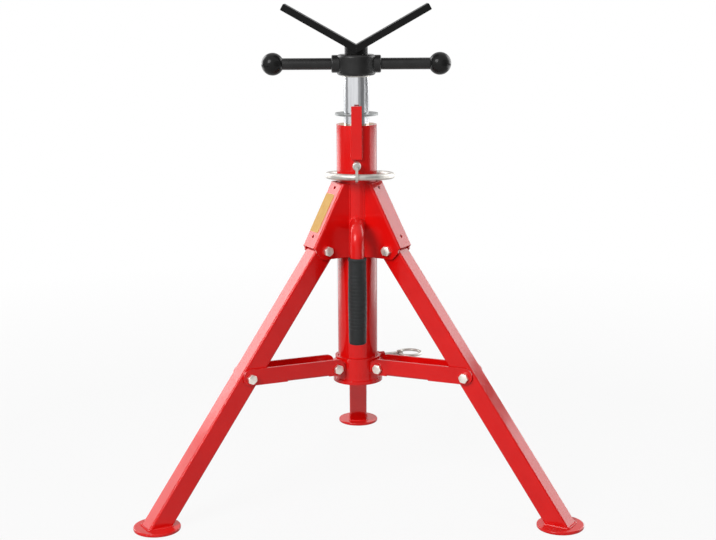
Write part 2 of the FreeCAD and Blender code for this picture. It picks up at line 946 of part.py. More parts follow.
def make_lug(name, angle):
    depth = "dims.lug_reach - dims.collar_bore"
    tall = "dims.lug_round * 2"
    low = "dims.lug_height - dims.lug_round"
    wide = "dims.lug_half * 2"
    arm = box(f"lug_arm_{name}", (depth, wide, tall), "dims.collar_bore", "-dims.lug_half", low)
    nose = cylinder(
        f"lug_nose_{name}",
        "dims.lug_round",
        wide,
        x="dims.lug_reach",
        y="-dims.lug_half",
        z="dims.lug_height",
        rotation=ALONG_Y,
    )
    gap = centred_box(
        f"lug_gap_{name}",
        ("dims.lug_reach", f"{wide} - 2 * dims.lug_ear", f"{tall} * 2"),
        x="dims.collar_radius + dims.lug_base + dims.lug_reach / 2",
        z="dims.lug_height - dims.lug_round * 2",
    )
    weld_line = cylinder(f"lug_weld_line_{name}", "dims.collar_radius", "dims.collar_top")
    way = cylinder(
        f"lug_way_{name}",
        "dims.bolt_radius",
        f"{wide} * 2",
        x="dims.lug_reach",
        y=f"-({wide})",
        z="dims.lug_height",
        rotation=ALONG_Y,
    )
    lug = cut(f"lug_{name}", fuse(f"lug_blank_{name}", arm, nose), gap, weld_line, way)
    lug.Placement = azimuth(angle)
    return lug


def make_lock():
    turned = azimuth(size("lock_azimuth"))
    boss = cylinder(
        "lock_boss_blank",
        "dims.lock_boss_radius",
        "dims.lock_boss_reach - dims.collar_bore",
        x="dims.collar_bore",
        z="dims.lock_height",
        rotation=ALONG_X,
    )
    weld_line = cylinder("lock_weld_line", "dims.collar_radius", "dims.collar_top * 2")
    way = cylinder(
        "lock_way",
        "dims.lock_hole",
        "dims.lock_eye_reach",
        z="dims.lock_height",
        rotation=ALONG_X,
    )
    housing = cut("lock_boss", boss, weld_line, way)
    housing.Placement = turned
    keep("lock_boss", housing)
    shaft = cylinder(
        "lock_shaft",
        "dims.lock_pin_radius",
        "dims.lock_eye_reach - dims.collar_bore",
        x="dims.collar_bore",
        z="dims.lock_height",
        rotation=ALONG_X,
    )
    rim = cylinder(
        "lock_eye_rim",
        "dims.lock_eye_radius",
        "dims.eye_thickness",
        x="dims.lock_eye_reach",
        y="-dims.eye_thickness / 2",
        z="dims.lock_height",
        rotation=ALONG_Y,
    )
    flats = []
    near_side = "-dims.lock_pin_radius * 2 - dims.eye_thickness / 2"
    for side, start in (("near", near_side), ("far", "dims.eye_thickness / 2")):
        flats.append(
            box(
                f"lock_eye_flat_{side}",
                ("dims.lock_eye_radius", "dims.lock_pin_radius * 2", "dims.lock_pin_radius * 4"),
                "dims.lock_eye_reach - dims.lock_eye_radius",
                start,
                "dims.lock_height - dims.lock_pin_radius * 2",
            )
        )
    eye_way = cylinder(
        "lock_eye_way",
        "dims.lock_eye_hole",
        "dims.eye_thickness * 4",
        x="dims.lock_eye_reach",
        y="-dims.eye_thickness * 2",
        z="dims.lock_height",
        rotation=ALONG_Y,
    )
    pin = cut("collar_pin", fuse("lock_pin_blank", shaft, rim), eye_way, *flats)
    pin.Placement = turned
    keep("collar_pin", pin)
    wire = torus("collar_pin_ring", "dims.lock_ring_radius", "dims.lock_ring_wire")
    wire.Placement = turned * Placement(
        Vector(size("lock_eye_reach") + size("lock_ring_radius"), 0, size("lock_height")), Rotation()
    )
    keep("collar_pin_ring", wire)


# Square-tube legs drawn hanging straight down from their pivot, then leaned out and turned.
def make_leg(name, angle):
    half = "dims.leg_width / 2"
    length = f"(dims.leg_pivot_height / cos({fold['lean']}) + dims.leg_width)"
    square = ("dims.leg_width", "dims.leg_width")
    inside = "dims.leg_width - 2 * dims.leg_wall"
    outer = centred_box(f"leg_outer_{name}", (*square, f"{length} + {half}"), z=f"-{length}")
    soft = rounded(f"leg_soft_{name}", outer, size("leg_corner"), upright_edge)
    hollow = centred_box(f"leg_hollow_{name}", (inside, inside, f"{length} * 2"), z=f"-{length}")
    nose = cylinder(f"leg_nose_{name}", half, "dims.leg_width", y=f"-{half}", rotation=ALONG_Y)
    stem = centred_box(f"leg_stem_{name}", (*square, length), z=f"-{length}")
    form = fuse(f"leg_form_{name}", nose, stem)
    leaned = common(f"leg_leaned_{name}", cut(f"leg_square_{name}", soft, hollow), form)
    lean = Rotation(Vector(0, 1, 0), -fold["lean"])
    leaned.Placement = Placement(Vector(size("leg_pivot_radius"), 0, size("leg_pivot_height")), lean)
    floor = centred_box(
        f"leg_floor_{name}",
        ("dims.foot_reach", "dims.foot_reach", "dims.foot_reach"),
        x="dims.foot_reach",
        z="dims.foot_thickness - dims.foot_reach",
    )
    places = bush_places()
    ways = []
    bushes = []
    for where, (reach, height) in places.items():
        across = {"x": reach, "y": f"-{half}", "z": height, "rotation": ALONG_Y}
        ways.append(cylinder(f"leg_way_{where}_{name}", "dims.leg_bush_radius", "dims.leg_width", **across))
        blank = cylinder(f"bush_blank_{where}_{name}", "dims.leg_bush_radius", "dims.leg_width", **across)
        bore = cylinder(f"bush_bore_{where}_{name}", "dims.bolt_hole", "dims.leg_width", **across)
        bushes.append(cut(f"bush_{where}_{name}", blank, bore))
    leg = keep(f"leg_tube_{name}", cut(f"leg_tube_{name}", leaned, floor, *ways))
    pair = keep(f"leg_bushes_{name}", group(f"leg_bushes_{name}", bushes))
    disc = cylinder(f"foot_blank_{name}", "dims.foot_radius", "dims.foot_thickness", x="dims.foot_reach")
    foot = rounded(f"foot_disc_{name}", disc, size("foot_round"), circle_of(size("foot_radius")))
    keep(f"foot_disc_{name}", foot)
    for piece in (leg, pair, foot):
        piece.Placement = azimuth(angle)


def bush_places():
    link_reach = size("leg_pivot_radius") + fold["down_leg"] * math.sin(math.radians(fold["lean"]))
    return {
        "pivot": ("dims.leg_pivot_radius", "dims.leg_pivot_height"),
        "link": (link_reach, "dims.link_leg_height"),
    }


# Link folded from sheet: two flanges astride a lug and a leg, with a web below between them.
# The bolt ends at the leg ride on it.
def make_link(name, angle, side):
    inner = "(dims.lug_half + dims.link_gap)"
    outer = f"({inner} + dims.link_thickness)"
    ends = []
    for word, sign, height, tail in (
        ("head", side, "dims.bolt_head_height", 0),
        ("nut", -side, "dims.nut_height", "dims.bolt_tail"),
    ):
        tag = f"{word}_{name}"
        cap_start = outer if sign > 0 else f"-{outer} - {height}"
        cap = hexagon(f"link_cap_{tag}", "dims.bolt_head_radius", height, fold["link"], cap_start, 0, ALONG_Y)
        reach = f"dims.link_thickness + {height} + {tail}"
        stub_start = inner if sign > 0 else f"-{inner} - ({reach})"
        stub = cylinder(f"link_stub_{tag}", "dims.bolt_radius", reach, fold["link"], stub_start, 0, ALONG_Y)
        ends.append(fuse(f"link_end_{tag}", cap, stub))
    slope = Rotation(Vector(0, 1, 0), fold["link_slope"])
    lug_pivot = Placement(Vector(size("lug_reach"), 0, size("lug_height")), slope)
    channel = make_channel(name, inner, outer)
    channel.Placement = azimuth(angle) * lug_pivot
    keep(f"link_channel_{name}", channel)
    bolts = group(f"link_bolts_{name}", ends)
    bolts.Placement = azimuth(angle) * lug_pivot
    keep(f"link_bolts_{name}", bolts)


def make_channel(name, inner, outer):
    wide = f"2 * {outer}"
    low = "(dims.link_offset - dims.link_width / 2)"
    web_end = f"({fold['link']} - dims.link_web_end)"
    web_length = f"{web_end} - dims.link_web_start"
    strip = box(f"link_strip_{name}", (fold["link"], wide, "dims.link_width"), 0, f"-{outer}", low)
    trough_sides = (web_length, wide, "dims.link_width")
    trough = box(f"link_trough_{name}", trough_sides, "dims.link_web_start", f"-{outer}", low)
    long_edges = edge_below(number(low), number(web_length))
    bent = rounded(f"link_bent_{name}", trough, size("link_bend"), long_edges)
    notch_sides = (web_length, f"{wide} * 2", "dims.link_width * 2")
    notch = box(f"link_notch_{name}", notch_sides, "dims.link_web_start", f"-({wide})", f"{low} * 2")
    plain = cut(f"link_plain_{name}", strip, notch)
    discs = []
    for word, x in (("near", 0), ("far", fold["link"])):
        across = {"x": x, "y": f"-{outer}", "z": "dims.link_offset", "rotation": ALONG_Y}
        discs.append(cylinder(f"link_{word}_{name}", "dims.link_width / 2", wide, **across))
    blank = fuse(f"link_blank_{name}", plain, bent, *discs)
    spare = "dims.link_width"
    rooms = []
    for word, start, length, floor in (
        ("trough", f"-{spare}", f"{fold['link']} + 2 * {spare}", f"{low} + dims.link_thickness"),
        ("near", f"-{spare}", f"dims.link_web_start + {spare}", f"-{spare}"),
        ("far", web_end, f"dims.link_web_end + {spare}", f"-{spare}"),
    ):
        sides = (length, f"2 * {inner}", f"{spare} * 2")
        rooms.append(box(f"link_{word}_room_{name}", sides, start, f"-{inner}", floor))
    ways = []
    for word, x, radius in (("near", 0, "dims.bolt_hole"), ("far", fold["link"], "dims.bolt_radius")):
        ways.append(cylinder(f"link_{word}_way_{name}", radius, wide, x, f"-{outer}", 0, ALONG_Y))
    return cut(f"link_channel_{name}", blank, *rooms, *ways)


def edge_below(height, length):
    # the two long edges at the bottom of a trough
    def test(edge):
        level = all(abs(vertex.Point.z - height) < 1e-6 for vertex in edge.Vertexes)
        return level and abs(edge.Length - length) < 1e-6

    return test


def failed_objects():
    bad = [obj.Name for obj in doc.Objects if "Invalid" in obj.State or "Error" in obj.State]
    for obj in subparts:
        if obj.Shape.isNull() or not obj.Shape.isValid():
            bad.append(obj.Label)
    return bad


make_column()
make_brackets()
make_patch()
make_fasteners("leg_pivot", "dims.leg_pivot_radius", "dims.leg_pivot_height", "dims.bracket_half")
make_handle()
make_inner_tube()
make_handle_nut()
make_screw_and_head()
make_height_pin()
make_grip_plate()
make_collar()
for leg_name, leg_azimuth, head_side in LEGS:
    make_leg(leg_name, leg_azimuth)
    make_link(leg_name, leg_azimuth, head_side)
doc.recompute()

problems = failed_objects()
if problems:
    raise RuntimeError("failed objects: " + ", ".join(problems))

os.makedirs("parts", exist_ok=True)
for obj in subparts:
    obj.Shape.exportStep(f"parts/{obj.Label}.step")
    print(obj.Label, len(obj.Shape.Solids), round(obj.Shape.Volume, 1))
for word, amount in fold.items():
    print(word, round(amount, 5))
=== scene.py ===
import json
import math

import bmesh
import bpy
from mathutils import Matrix, Vector


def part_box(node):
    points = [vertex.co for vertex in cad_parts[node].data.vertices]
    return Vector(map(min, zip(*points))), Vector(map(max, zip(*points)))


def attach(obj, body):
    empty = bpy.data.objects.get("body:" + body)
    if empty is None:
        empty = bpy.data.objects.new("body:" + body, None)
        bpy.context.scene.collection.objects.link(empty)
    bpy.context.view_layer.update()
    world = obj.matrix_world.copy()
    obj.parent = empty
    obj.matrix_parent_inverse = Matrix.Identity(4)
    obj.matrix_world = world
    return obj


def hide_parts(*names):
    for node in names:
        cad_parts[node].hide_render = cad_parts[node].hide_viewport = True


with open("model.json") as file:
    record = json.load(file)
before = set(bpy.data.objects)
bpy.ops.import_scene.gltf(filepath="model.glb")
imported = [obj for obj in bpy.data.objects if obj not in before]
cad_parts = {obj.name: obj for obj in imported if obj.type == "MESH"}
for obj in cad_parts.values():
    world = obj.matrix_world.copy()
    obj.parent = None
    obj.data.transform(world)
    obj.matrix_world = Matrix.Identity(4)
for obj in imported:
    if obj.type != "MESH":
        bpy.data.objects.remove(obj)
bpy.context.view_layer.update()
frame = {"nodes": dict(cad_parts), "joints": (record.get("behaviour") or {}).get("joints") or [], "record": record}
scene = bpy.context.scene
nodes = frame["nodes"]
joints = {joint["name"]: joint for joint in frame["joints"]}
mm = 0.001
print("frame loaded:", len(nodes), "nodes")


# Where the legs stand, read from their hinges
legNames = ("left", "right", "rear")
headSide = {"left": 1, "right": -1, "rear": 1}  # the side of a leg that carries its bolt heads


def legAngle(name):
    place = joints["leg_fold_" + name]["pos_m"]
    return math.atan2(place[1], place[0])


def legFrame(name):
    # x runs out along the leg's direction, y across it
    return Matrix.Rotation(legAngle(name), 4, "Z")


def reachOf(place):
    return math.hypot(place[0], place[1])


def halfWidth(node):
    # half a node's size along x, which for the rear leg's pieces is across the leg
    low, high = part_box(node)
    return (high.x - low.x) / 2


# Camera, as the photograph was taken: square to the front, a little above the head, looking down
cameraSet = {
    "aside": 0.001, "distance": 2.0906, "height": 0.7832, "tiltDown": 11.807, "roll": -0.31,
    "focalPixels": 1409.5, "framePixels": 716, "sensor": 36.0, "clipEnd": 60.0,
}


def placeCamera():
    data = bpy.data.cameras.new("standCamera")
    data.sensor_fit = "HORIZONTAL"
    data.sensor_width = cameraSet["sensor"]
    data.lens = cameraSet["sensor"] * cameraSet["focalPixels"] / cameraSet["framePixels"]
    data.clip_end = cameraSet["clipEnd"]
    camera = bpy.data.objects.new("standCamera", data)
    camera.location = (cameraSet["aside"], -cameraSet["distance"], cameraSet["height"])
    look = Matrix.Rotation(math.radians(90.0 - cameraSet["tiltDown"]), 4, "X")
    look = look @ Matrix.Rotation(math.radians(cameraSet["roll"]), 4, "Z")
    camera.rotation_euler = look.to_euler()
    scene.collection.objects.link(camera)
    scene.camera = camera
    print("camera placed")


# Studio: a floor that looks pale, a white world, soft lamps, and dark or bright cards that only
# reflections see. A card's turn is counted from the camera's side towards the right.
studioSet = {
    "floorSize": 40.0,
    "floorColor": (0.45, 0.45, 0.45, 1.0),  # what the floor throws back as light
    "floorClear": (0.92, 1.0),  # how clear the floor is to the eye, under the stand and far off
    "clearReach": (0.7, 1.8),
    "ambient": 0.35,
    "white": (1.0, 1.0, 1.0, 1.0),
    "lamps": (
        {"name": "keyLamp", "place": (-1.7, -2.2, 2.2), "size": 1.5, "power": 91.0, "mirrored": True},
        {"name": "fillLamp", "place": (2.3, -1.4, 1.5), "size": 1.6, "power": 9.5, "mirrored": True},
        {"name": "backLamp", "place": (0.9, 2.7, 2.0), "size": 1.6, "power": 30.0, "mirrored": False},
    ),
    "aim": (0.0, 0.0, 0.4),
    "cards": (
        {"name": "cardFront", "turn": 54.0, "away": 1.7, "level": 0.9, "size": (1.0, 1.8), "shade": 0.2},
        {"name": "cardWide", "turn": 48.0, "away": 1.9, "level": 0.9, "size": (2.4, 1.8), "shade": 0.4},
        {"name": "cardSide", "turn": -99.0, "away": 1.7, "level": 0.9, "size": (1.1, 1.8), "shade": 0.38},
        {"name": "cardLow", "turn": -58.0, "away": 1.75, "level": 0.17, "size": (1.4, 0.34), "shade": 0.12},
        {"name": "glowLeft", "turn": -128.0, "away": 1.25, "level": 0.21, "size": (0.96, 0.42), "shade": 3.0},
        {"name": "glowRight", "turn": 112.0, "away": 1.25, "level": 0.21, "size": (1.4, 0.42), "shade": 4.0},
        {"name": "cardTube", "turn": 105.0, "away": 1.2, "level": 0.525, "size": (0.85, 0.15), "shade": 0.15},
        {"name": "skyLeft", "turn": -126.0, "away": 1.9, "level": 1.25, "size": (1.5, 1.5), "shade": 6.0},
        {"name": "skyRight", "turn": 122.0, "away": 1.9, "level": 1.25, "size": (1.5, 1.5), "shade": 4.7},
    ),
}


def aimAt(item, target):
    item.rotation_euler = (Vector(target) - item.location).to_track_quat("-Z", "Y").to_euler()


def flatPlane(name, width, height):
    mesh = bpy.data.meshes.new(name)
    x, y = width / 2, height / 2
    mesh.from_pydata([(-x, -y, 0), (x, -y, 0), (x, y, 0), (-x, y, 0)], [], [(0, 1, 2, 3)])
    item = bpy.data.objects.new(name, mesh)
    scene.collection.objects.link(item)
    return item


def mathNode(tree, operation, first, second=None, clamp=True):
    node = tree.nodes.new("ShaderNodeMath")
    node.operation = operation
    node.use_clamp = clamp
    for slot, source in enumerate((first, second)):
        if source is None:
            continue
        if isinstance(source, (int, float)):
            node.inputs[slot].default_value = source
        else:
            tree.links.new(source, node.inputs[slot])
    return node.outputs[0]


def rangeNode(tree, value, fromRange, toRange):
    node = tree.nodes.new("ShaderNodeMapRange")
    tree.links.new(value, node.inputs["Value"])
    for label, amount in zip(("From Min", "From Max", "To Min", "To Max"), (*fromRange, *toRange)):
        if isinstance(amount, (int, float)):
            node.inputs[label].default_value = amount
        else:
            tree.links.new(amount, node.inputs[label])
    return node.outputs["Result"]


def seenRays(tree):
    # 1 where the ray comes straight from the camera or by a mirror or glass
    path = tree.nodes.new("ShaderNodeLightPath")
    seen = mathNode(tree, "MAXIMUM", path.outputs["Is Camera Ray"], path.outputs["Is Glossy Ray"])
    return mathNode(tree, "MAXIMUM", seen, path.outputs["Is Transmission Ray"])


def emptyMaterial(name):
    material = bpy.data.materials.new(name)
    material.use_nodes = True
    material.node_tree.nodes.clear()
    return material, material.node_tree, material.node_tree.nodes.new("ShaderNodeOutputMaterial")


def floorMaterial():
    # matt for the light, and mostly clear to the eye: the white room and a folded leg show through it
    material, tree, out = emptyMaterial("paleFloor")
    matt = tree.nodes.new("ShaderNodeBsdfDiffuse")
    matt.inputs["Color"].default_value = studioSet["floorColor"]
    clear = tree.nodes.new("ShaderNodeBsdfTransparent")
    where = tree.nodes.new("ShaderNodeTexCoord")
    far = tree.nodes.new("ShaderNodeVectorMath")
    far.operation = "LENGTH"
    tree.links.new(where.outputs["Object"], far.inputs[0])
    share = rangeNode(tree, far.outputs["Value"], studioSet["clearReach"], studioSet["floorClear"])
    mix = tree.nodes.new("ShaderNodeMixShader")
    tree.links.new(mathNode(tree, "MULTIPLY", share, seenRays(tree)), mix.inputs[0])
    tree.links.new(matt.outputs[0], mix.inputs[1])
    tree.links.new(clear.outputs[0], mix.inputs[2])
    tree.links.new(mix.outputs[0], out.inputs["Surface"])
    return material


def cardMaterial(shade):
    material, tree, out = emptyMaterial("reflectedCard")
    flat = tree.nodes.new("ShaderNodeEmission")
    flat.inputs["Strength"].default_value = shade
    tree.links.new(flat.outputs[0], out.inputs["Surface"])
    return material


def hangCard(card):
    item = flatPlane(card["name"], *card["size"])
    turn = math.radians(card["turn"])
    item.location = (card["away"] * math.sin(turn), -card["away"] * math.cos(turn), card["level"])
    aimAt(item, (0.0, 0.0, card["level"]))
    item.data.materials.append(cardMaterial(card["shade"]))
    item.visible_camera = False
    item.visible_diffuse = False
    item.visible_shadow = False


def hangLamp(lamp):
    data = bpy.data.lights.new(lamp["name"], "AREA")
    data.shape = "SQUARE"
    data.size = lamp["size"]
    data.energy = lamp["power"]
    item = bpy.data.objects.new(lamp["name"], data)
    item.location = lamp["place"]
    item.visible_glossy = lamp["mirrored"]
    scene.collection.objects.link(item)
    aimAt(item, studioSet["aim"])


def buildStudio():
    floor = flatPlane("floor", studioSet["floorSize"], studioSet["floorSize"])
    floor.data.materials.append(floorMaterial())
    floor.visible_shadow = False  # a folded leg reaches below the floor and stays lit
    for card in studioSet["cards"]:
        hangCard(card)
    for lamp in studioSet["lamps"]:
        hangLamp(lamp)
    world = bpy.data.worlds.new("whiteRoom")
    world.use_nodes = True
    scene.world = world
    tree = world.node_tree
    tree.nodes.clear()
    out = tree.nodes.new("ShaderNodeOutputWorld")
    light = tree.nodes.new("ShaderNodeBackground")
    light.inputs["Color"].default_value = studioSet["white"]
    strength = rangeNode(tree, seenRays(tree), (0.0, 1.0), (studioSet["ambient"], 1.0))
    tree.links.new(strength, light.inputs["Strength"])
    tree.links.new(light.outputs[0], out.inputs["Surface"])
    scene.view_settings.view_transform = "Standard"
    print("studio built")


# Shared effects, as node groups
effectSet = {"bevelSamples": 4, "noiseDetail": 2.0, "noiseSpan": (0.3, 0.7), "dustFocus": 3.0}


def newGroup(name, inputs, outputs):
    group = bpy.data.node_groups.new(name, "ShaderNodeTree")
    for label, default in inputs:
        socket = group.interface.new_socket(label, in_out="INPUT", socket_type="NodeSocketFloat")
        socket.default_value = default
    for label, kind in outputs:
        group.interface.new_socket(label, in_out="OUTPUT", socket_type=kind)
    return group, group.nodes.new("NodeGroupInput"), group.nodes.new("NodeGroupOutput")


def noiseAt(group, scale):
    where = group.nodes.new("ShaderNodeTexCoord")
    noise = group.nodes.new("ShaderNodeTexNoise")
    noise.inputs["Detail"].default_value = effectSet["noiseDetail"]
    group.links.new(where.outputs["Object"], noise.inputs["Vector"])
    group.links.new(scale, noise.inputs["Scale"])
    return noise.outputs["Fac"]


def edgeWearAndHighlightGroup():
    # 1 on outer edges, broken up by a noise; it tints edges for rubbed wear, and on the red enamel also as a
    # painted highlight
    group, entry, out = newGroup(
        "edgeWearAndHighlight",
        (("Radius", 0.001), ("Breakup", 220.0), ("Reach", 3.0)),
        (("Mask", "NodeSocketFloat"),),
    )
    bevel = group.nodes.new("ShaderNodeBevel")
    bevel.samples = effectSet["bevelSamples"]
    group.links.new(entry.outputs["Radius"], bevel.inputs["Radius"])
    geometry = group.nodes.new("ShaderNodeNewGeometry")
    dot = group.nodes.new("ShaderNodeVectorMath")
    dot.operation = "DOT_PRODUCT"
    group.links.new(bevel.outputs["Normal"], dot.inputs[0])
    group.links.new(geometry.outputs["Normal"], dot.inputs[1])
    turned = mathNode(group, "SUBTRACT", 1.0, dot.outputs["Value"])
    spread = mathNode(group, "MULTIPLY", turned, entry.outputs["Reach"])
    broken = mathNode(group, "MULTIPLY", spread, noiseAt(group, entry.outputs["Breakup"]))
    group.links.new(broken, out.inputs["Mask"])
    return group


def roundEdgeGroup():
    # the surface's normal, turned over a small radius at every edge
    group, entry, out = newGroup("roundEdge", (("Radius", 0.0008),), (("Normal", "NodeSocketVector"),))
    bevel = group.nodes.new("ShaderNodeBevel")
    bevel.samples = effectSet["bevelSamples"]
    group.links.new(entry.outputs["Radius"], bevel.inputs["Radius"])
    group.links.new(bevel.outputs["Normal"], out.inputs["Normal"])
    return group


def mottleGroup():
    # an even noise between two values, with stretch along the height
    group, entry, out = newGroup(
        "mottle",
        (("Scale", 60.0), ("Stretch", 1.0), ("Detail", 4.0), ("Low", 0.0), ("High", 1.0)),
        (("Value", "NodeSocketFloat"),),
    )
    where = group.nodes.new("ShaderNodeTexCoord")
    split = group.nodes.new("ShaderNodeSeparateXYZ")
    group.links.new(where.outputs["Object"], split.inputs[0])
    tall = mathNode(group, "DIVIDE", split.outputs["Z"], entry.outputs["Stretch"], clamp=False)
    join = group.nodes.new("ShaderNodeCombineXYZ")
    group.links.new(split.outputs["X"], join.inputs["X"])
    group.links.new(split.outputs["Y"], join.inputs["Y"])
    group.links.new(tall, join.inputs["Z"])
    cloud = group.nodes.new("ShaderNodeTexNoise")
    group.links.new(join.outputs[0], cloud.inputs["Vector"])
    group.links.new(entry.outputs["Scale"], cloud.inputs["Scale"])
    group.links.new(entry.outputs["Detail"], cloud.inputs["Detail"])
    limits = (entry.outputs["Low"], entry.outputs["High"])
    between = rangeNode(group, cloud.outputs["Fac"], effectSet["noiseSpan"], limits)
    group.links.new(between, out.inputs["Value"])
    return group


def dustGroup():
    # a thin settled film where a face looks up
    group, entry, out = newGroup(
        "settledDust", (("Amount", 0.1), ("Scale", 35.0)), (("Mask", "NodeSocketFloat"),)
    )
    geometry = group.nodes.new("ShaderNodeNewGeometry")
    split = group.nodes.new("ShaderNodeSeparateXYZ")
    group.links.new(geometry.outputs["Normal"], split.inputs[0])
    rising = mathNode(group, "MAXIMUM", split.outputs["Z"], 0.0)
    upward = mathNode(group, "POWER", rising, effectSet["dustFocus"])
    patchy = mathNode(group, "MULTIPLY", upward, noiseAt(group, entry.outputs["Scale"]))
    group.links.new(mathNode(group, "MULTIPLY", patchy, entry.outputs["Amount"]), out.inputs["Mask"])
    return group


edgeWearAndHighlight = edgeWearAndHighlightGroup()
roundEdge = roundEdgeGroup()
mottle = mottleGroup()
settledDust = dustGroup()
print("node groups built")


# Finishes: one dictionary each, all on the same build of nodes
finishSet = {
    "redEnamel": {
        # the lighter red at the edges is partly thin paint and partly a painted highlight on the rounded corners
        "color": (0.72, 0.0045, 0.0035), "second": (0.65, 0.0035, 0.0030), "edge": (0.76, 0.020, 0.016),
        "metallic": 0.0, "rough": (0.15, 0.23), "gloss": 0.24, "coat": 0.12, "coatRough": 0.06,
        "cloudScale": 26.0, "stretch": 1.0, "grainScale": 520.0, "grain": 0.035, "wearAndHighlight": 0.15,
        "dust": 0.05, "round": 0.9,
    },
    "platedTube": {
        "color": (0.74, 0.75, 0.77), "second": (0.66, 0.67, 0.69), "edge": (0.90, 0.90, 0.90),
        "metallic": 1.0, "rough": (0.10, 0.18), "gloss": 0.5, "coat": 0.0, "coatRough": 0.1,
        "cloudScale": 320.0, "stretch": 14.0, "grainScale": 1400.0, "grain": 0.03, "wearAndHighlight": 0.2,
        "dust": 0.03, "round": 0.4,
    },
    "zincSteel": {
        "color": (0.52, 0.50, 0.465), "second": (0.40, 0.385, 0.36), "edge": (0.70, 0.68, 0.64),
        "metallic": 1.0, "rough": (0.40, 0.52), "gloss": 0.5, "coat": 0.0, "coatRough": 0.1,
        "cloudScale": 180.0, "stretch": 1.0, "grainScale": 1800.0, "grain": 0.06, "wearAndHighlight": 0.4,
        "dust": 0.05, "round": 0.4,
    },
    "boltZinc": {
        "color": (0.86, 0.82, 0.75), "second": (0.74, 0.70, 0.63), "edge": (0.92, 0.90, 0.85),
        "metallic": 1.0, "rough": (0.38, 0.50), "gloss": 0.5, "coat": 0.0, "coatRough": 0.1,
        "cloudScale": 180.0, "stretch": 1.0, "grainScale": 1800.0, "grain": 0.06, "wearAndHighlight": 0.4,
        "dust": 0.05, "round": 0.4,
    },
    "blackCoat": {
        "color": (0.006, 0.006, 0.006), "second": (0.009, 0.009, 0.009), "edge": (0.04, 0.04, 0.04),
        "metallic": 0.0, "rough": (0.36, 0.50), "gloss": 0.07, "coat": 0.02, "coatRough": 0.3,
        "cloudScale": 70.0, "stretch": 1.0, "grainScale": 700.0, "grain": 0.14, "wearAndHighlight": 0.4,
        "dust": 0.012, "round": 0.9,
    },
    # a lit copy of the black coat: glossier, and its lighter colour is painted light
    "litNutCoat": {
        "color": (0.010, 0.010, 0.010), "second": (0.015, 0.015, 0.015), "edge": (0.05, 0.05, 0.05),
        "metallic": 0.0, "rough": (0.28, 0.40), "gloss": 0.24, "coat": 0.06, "coatRough": 0.25,
        "cloudScale": 70.0, "stretch": 1.0, "grainScale": 700.0, "grain": 0.12, "wearAndHighlight": 0.4,
        "dust": 0.02, "round": 0.9,
    },
    "blackKnob": {
        "color": (0.009, 0.009, 0.009), "second": (0.013, 0.013, 0.013), "edge": (0.03, 0.03, 0.03),
        "metallic": 0.0, "rough": (0.18, 0.26), "gloss": 0.11, "coat": 0.04, "coatRough": 0.1,
        "cloudScale": 90.0, "stretch": 1.0, "grainScale": 1600.0, "grain": 0.02, "wearAndHighlight": 0.2,
        "dust": 0.012, "round": 0.5,
    },
    "screwSteel": {
        "color": (0.30, 0.30, 0.30), "second": (0.22, 0.22, 0.21), "edge": (0.48, 0.48, 0.47),
        "metallic": 1.0, "rough": (0.38, 0.52), "gloss": 0.5, "coat": 0.0, "coatRough": 0.2,
        "cloudScale": 120.0, "stretch": 1.0, "grainScale": 1500.0, "grain": 0.04, "wearAndHighlight": 0.6,
        "dust": 0.02, "round": 0.2,
    },
    "bushBronze": {
        "color": (0.56, 0.36, 0.15), "second": (0.44, 0.27, 0.11), "edge": (0.70, 0.50, 0.26),
        "metallic": 1.0, "rough": (0.30, 0.45), "gloss": 0.5, "coat": 0.0, "coatRough": 0.1,
        "cloudScale": 150.0, "stretch": 1.0, "grainScale": 1500.0, "grain": 0.04, "wearAndHighlight": 0.3,
        "dust": 0.02, "round": 0.3,
    },
    "gripRubber": {
        "color": (0.016, 0.018, 0.018), "second": (0.021, 0.023, 0.024), "edge": (0.04, 0.04, 0.04),
        "metallic": 0.0, "rough": (0.50, 0.66), "gloss": 0.22, "coat": 0.0, "coatRough": 0.3,
        "cloudScale": 90.0, "stretch": 1.0, "grainScale": 1500.0, "grain": 0.2, "wearAndHighlight": 0.25,
        "dust": 0.05, "round": 0.6,
    },
    "dullSheet": {
        "color": (0.27, 0.28, 0.28), "second": (0.21, 0.22, 0.22), "edge": (0.40, 0.40, 0.40),
        "metallic": 1.0, "rough": (0.42, 0.58), "gloss": 0.5, "coat": 0.0, "coatRough": 0.1,
        "cloudScale": 160.0, "stretch": 1.0, "grainScale": 1600.0, "grain": 0.05, "wearAndHighlight": 0.3,
        "dust": 0.06, "round": 0.3,
    },
    "yellowPatch": {
        "color": (0.66, 0.38, 0.09), "second": (0.60, 0.34, 0.08), "edge": (0.78, 0.58, 0.24),
        "metallic": 0.0, "rough": (0.50, 0.62), "gloss": 0.1, "coat": 0.0, "coatRough": 0.15,
        "cloudScale": 60.0, "stretch": 1.0, "grainScale": 1200.0, "grain": 0.02, "wearAndHighlight": 0.3,
        "dust": 0.05, "round": 0.2,
    },
}
surfaceSet = {
    "dustColor": (0.55, 0.52, 0.48), "grainHeight": 0.6 * mm, "grainDetail": 2.0,
    "wearAndHighlightReach": 12.0, "wearAndHighlightWidth": 1.5, "sheenScale": 2.3,
}


def placeGroup(tree, group, values):
    node = tree.nodes.new("ShaderNodeGroup")
    node.node_tree = group
    for label, amount in values.items():
        node.inputs[label].default_value = amount
    return node.outputs[0]


def mixColor(tree, factor, first, second):
    node = tree.nodes.new("ShaderNodeMix")
    node.data_type = "RGBA"
    tree.links.new(factor, node.inputs["Factor"])
    for label, source in (("A", first), ("B", second)):
        socket = [s for s in node.inputs if s.name == label and s.type == "RGBA"][0]
        if isinstance(source, tuple):
            socket.default_value = (*source, 1.0)
        else:
            tree.links.new(source, socket)
    return [s for s in node.outputs if s.type == "RGBA"][0]


